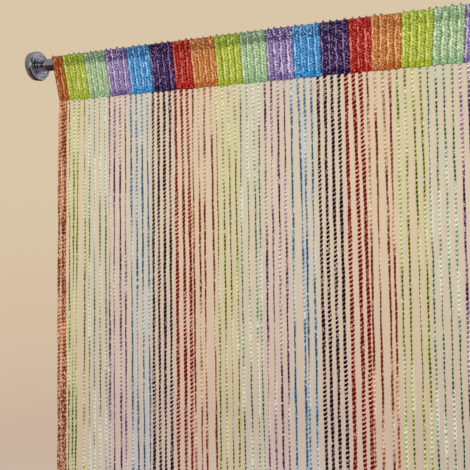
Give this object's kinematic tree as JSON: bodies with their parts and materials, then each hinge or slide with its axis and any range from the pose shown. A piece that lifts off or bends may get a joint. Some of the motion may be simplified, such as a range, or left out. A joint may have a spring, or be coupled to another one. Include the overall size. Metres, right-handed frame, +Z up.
{
  "type": "string door curtain on a tension rod",
  "caption": "Multicoloured string door curtain: ribbed rod-pocket heading with hanging flat strings, on a chromed tension rod with round end cups.",
  "frame": {"origin": "centre of the left pad's flat wall face, on the rod's axis", "axes": "+X along the rod to the right, +Z up, the curtain hangs in the XZ plane and its front faces -Y"},
  "size_m": [1.0645, 0.0478, 2.0114],
  "materials": {
    "chrome": "polished chrome plate",
    "pad": "matt grey rubber",
    "heading": "ribbed warp knit with metallic thread, striped in the colours of the strings",
    "yarn_orange": "crocheted flat yarn with metallic thread, burnt orange",
    "yarn_lime": "crocheted flat yarn with metallic thread, lime green",
    "yarn_mint": "crocheted flat yarn with metallic thread, pale mint green",
    "yarn_lilac": "crocheted flat yarn with metallic thread, lilac",
    "yarn_blue": "crocheted flat yarn with metallic thread, sky blue",
    "yarn_indigo": "crocheted flat yarn with metallic thread, deep violet",
    "yarn_red": "crocheted flat yarn with metallic thread, red"
  },
  "bodies": {
    "root": {"band_01_orange": "yarn_orange", "band_02_lime": "yarn_lime", "band_03_mint": "yarn_mint", "band_04_lilac": "yarn_lilac", "band_05_blue": "yarn_blue", "band_06_indigo": "yarn_indigo", "band_07_red": "yarn_red", "band_08_orange": "yarn_orange", "band_09_lime": "yarn_lime", "band_10_mint": "yarn_mint", "band_11_lilac": "yarn_lilac", "band_12_blue": "yarn_blue", "band_13_indigo": "yarn_indigo", "band_14_red": "yarn_red", "band_15_orange": "yarn_orange", "band_16_lime": "yarn_lime", "band_17_mint": "yarn_mint", "band_18_lilac": "yarn_lilac", "band_19_blue": "yarn_blue", "band_20_indigo": "yarn_indigo", "band_21_red": "yarn_red", "band_22_orange": "yarn_orange", "band_23_lime": "yarn_lime", "band_24_mint": "yarn_mint", "band_25_lilac": "yarn_lilac", "band_26_blue": "yarn_blue", "band_27_indigo": "yarn_indigo", "cup_left": "chrome", "cup_right": "chrome", "heading": "heading", "pad_left": "pad", "pad_right": "pad", "rod": "chrome"}
  },
  "joints": []
}
